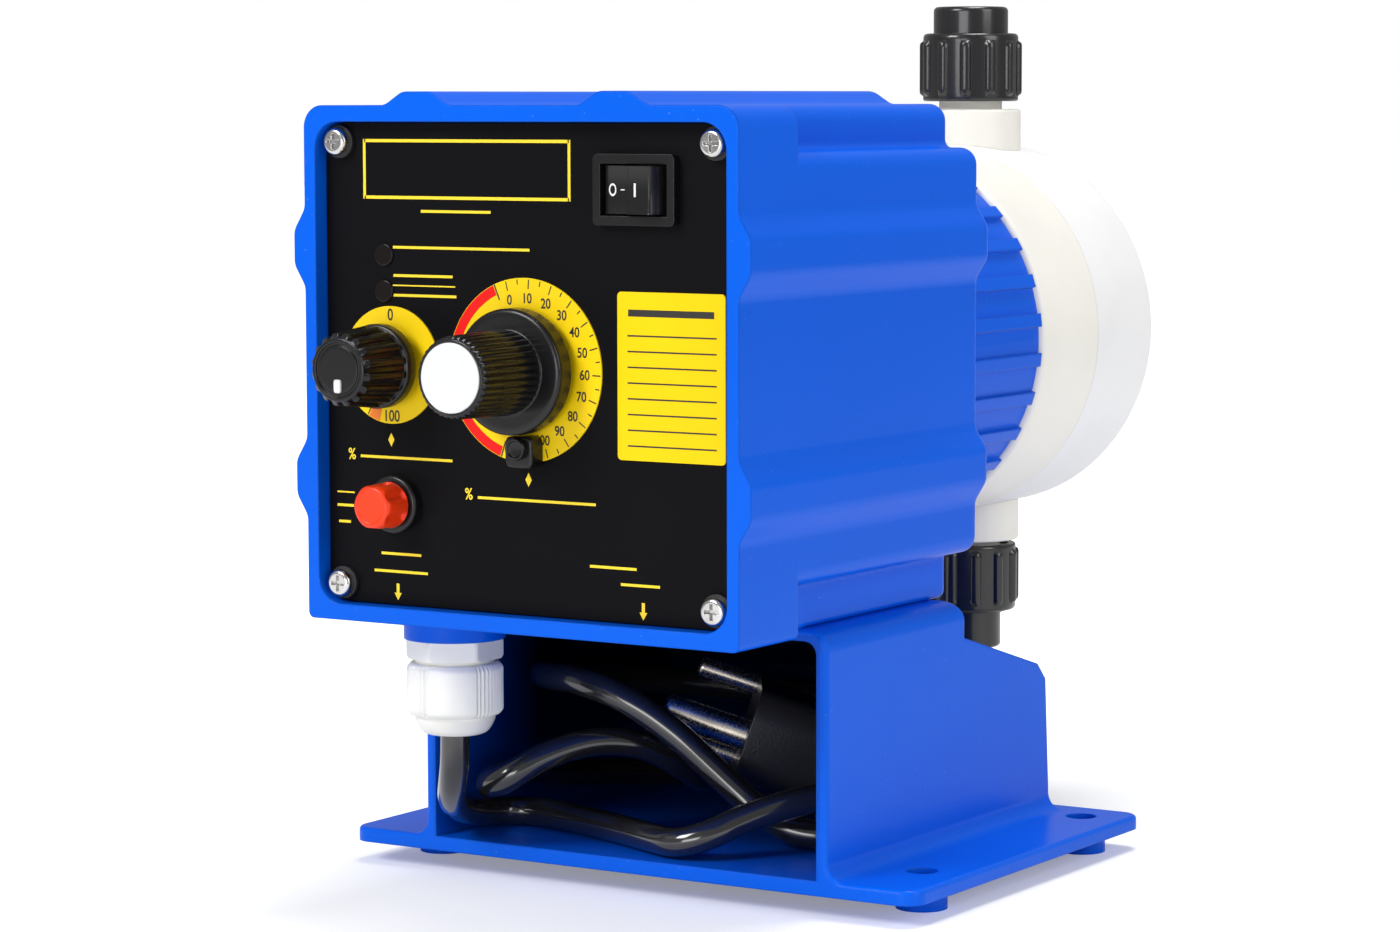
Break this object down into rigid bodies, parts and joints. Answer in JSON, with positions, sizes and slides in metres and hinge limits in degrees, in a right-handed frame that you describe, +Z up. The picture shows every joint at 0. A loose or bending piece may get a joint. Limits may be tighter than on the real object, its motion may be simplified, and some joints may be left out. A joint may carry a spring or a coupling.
{
  "type": "diaphragm metering pump",
  "caption": "Solenoid-driven diaphragm metering pump on a mounting base, with a dial panel, finned drum, round pump head, ball valves with union nuts, and a mains lead.",
  "frame": {"origin": "middle of the rectangle of mounting holes, on the surface that the base's pads stand on", "axes": "+X to the pump's right seen from its control panel, +Y from the control panel to the pump head, +Z up"},
  "size_m": [0.1544, 0.2476, 0.2059],
  "materials": {
    "blue_enamel": "glossy powder coat with a fine orange peel",
    "panel_black": "satin moulded plastic with printed yellow marks",
    "gasket_black": "matt rubber",
    "stainless": "turned stainless steel",
    "washer_black": "matt rubber",
    "dial_yellow": "printed plastic disc",
    "label_yellow": "printed label",
    "knob_black": "satin moulded plastic",
    "cap_white": "gloss moulded plastic",
    "fuse_orange": "gloss moulded plastic",
    "brass": "turned brass",
    "lamp_lens": "moulded lamp lens",
    "board_green": "varnished circuit board",
    "steel": "turned steel",
    "copper_coil": "enamelled winding",
    "former_natural": "moulded nylon",
    "spring_steel": "spring wire",
    "cream_plastic": "satin moulded plastic",
    "white_plastic": "satin moulded plastic",
    "rubber_black": "matt rubber",
    "nut_black": "gloss moulded plastic",
    "ball_white": "polished ceramic",
    "gland_white": "satin moulded nylon",
    "cord_black": "extruded sheath",
    "pin_nickel": "plated brass pins"
  },
  "bodies": {
    "pump": {"housing": "blue_enamel", "base": "blue_enamel", "finned_drum": "blue_enamel", "base_screws": "stainless", "panel_gasket": "gasket_black", "control_panel": "panel_black", "panel_screws": "stainless", "panel_screw_washers": "washer_black", "panel_nuts": "brass", "dial_rings": "dial_yellow", "rating_label": "label_yellow", "stroke_bush": "brass", "stroke_lock_peg": "knob_black", "speed_pot": "former_natural", "fuse_holder": "knob_black", "switch_body": "knob_black", "switch_terminals": "brass", "signal_lamps": "lamp_lens", "board_posts": "brass", "circuit_board": "board_green", "board_parts": "knob_black", "drum_screws": "stainless", "shaft_bush": "brass", "solenoid_can": "steel", "solenoid_cover": "steel", "coil_former": "former_natural", "solenoid_coil": "copper_coil", "pole_piece": "steel", "return_spring": "spring_steel", "spacer_disc": "cream_plastic", "membrane": "rubber_black", "pump_head": "white_plastic", "head_screws": "stainless", "head_screw_washers": "stainless", "discharge_valve_body": "cream_plastic", "suction_valve_body": "cream_plastic", "valve_seals": "rubber_black", "union_nuts": "nut_black", "discharge_port": "nut_black", "suction_port": "nut_black", "gland_body": "gland_white", "gland_locknut": "gland_white", "gland_nut": "gland_white", "gland_seal": "rubber_black", "mains_lead": "cord_black", "plug_body": "cord_black", "plug_pins": "pin_nickel"},
    "stroke_dial": {"stroke_knob": "knob_black", "stroke_knob_cap": "cap_white"},
    "stroke_stop": {"stroke_stop_rod": "steel"},
    "speed_dial": {"speed_knob": "knob_black", "speed_pot_shaft": "steel"},
    "switch_rocker": {"rocker": "knob_black"},
    "fuse_cartridge": {"fuse": "cap_white"},
    "fuse_cap_turn": {"fuse_cap": "fuse_orange"},
    "armature": {"plunger": "steel", "drive_shaft": "stainless", "membrane_hub": "steel"},
    "discharge_check": {"discharge_ball": "ball_white"},
    "suction_check": {"suction_ball": "ball_white"}
  },
  "joints": [
    {"name": "stroke_dial_turn", "type": "hinge", "parent": "pump", "child": "stroke_dial", "pos_m": [0, -0.1152, 0.12285], "axis": [0, 1, 0], "range_deg": [0, 300]},
    {"name": "stroke_stop_feed", "type": "slide", "parent": "pump", "child": "stroke_stop", "axis": [0, 1, 0], "range_m": [0, 0.00125]},
    {"name": "speed_dial_turn", "type": "hinge", "parent": "pump", "child": "speed_dial", "pos_m": [-0.0363, -0.108, 0.12285], "axis": [0, 1, 0], "range_deg": [0, 270]},
    {"name": "rocker_tip", "type": "hinge", "parent": "pump", "child": "switch_rocker", "pos_m": [0.0297, -0.0984, 0.16265], "axis": [0, 0, 1], "range_deg": [0, 24]},
    {"name": "fuse_draw", "type": "slide", "parent": "pump", "child": "fuse_cartridge", "axis": [0, -1, 0], "range_m": [0, 0.034]},
    {"name": "fuse_cap_twist", "type": "hinge", "parent": "fuse_cartridge", "child": "fuse_cap_turn", "pos_m": [-0.035, -0.104, 0.09165], "axis": [0, -1, 0], "range_deg": [0, 45]},
    {"name": "armature_stroke", "type": "slide", "parent": "pump", "child": "armature", "axis": [0, 1, 0], "range_m": [0, 0.00125], "stiffness_N_per_m": 3000, "springref_m": -0.002, "deforming": ["return_spring", "membrane"]},
    {"name": "discharge_ball_lift", "type": "slide", "parent": "pump", "child": "discharge_check", "axis": [0, 0, 1], "range_m": [0, 0.002]},
    {"name": "suction_ball_lift", "type": "slide", "parent": "pump", "child": "suction_check", "axis": [0, 0, 1], "range_m": [0, 0.002]}
  ],
  "couplings": [
    {"joint": "stroke_stop_feed", "follows": "stroke_dial_turn", "m_per_rad": 0.00023871}
  ]
}
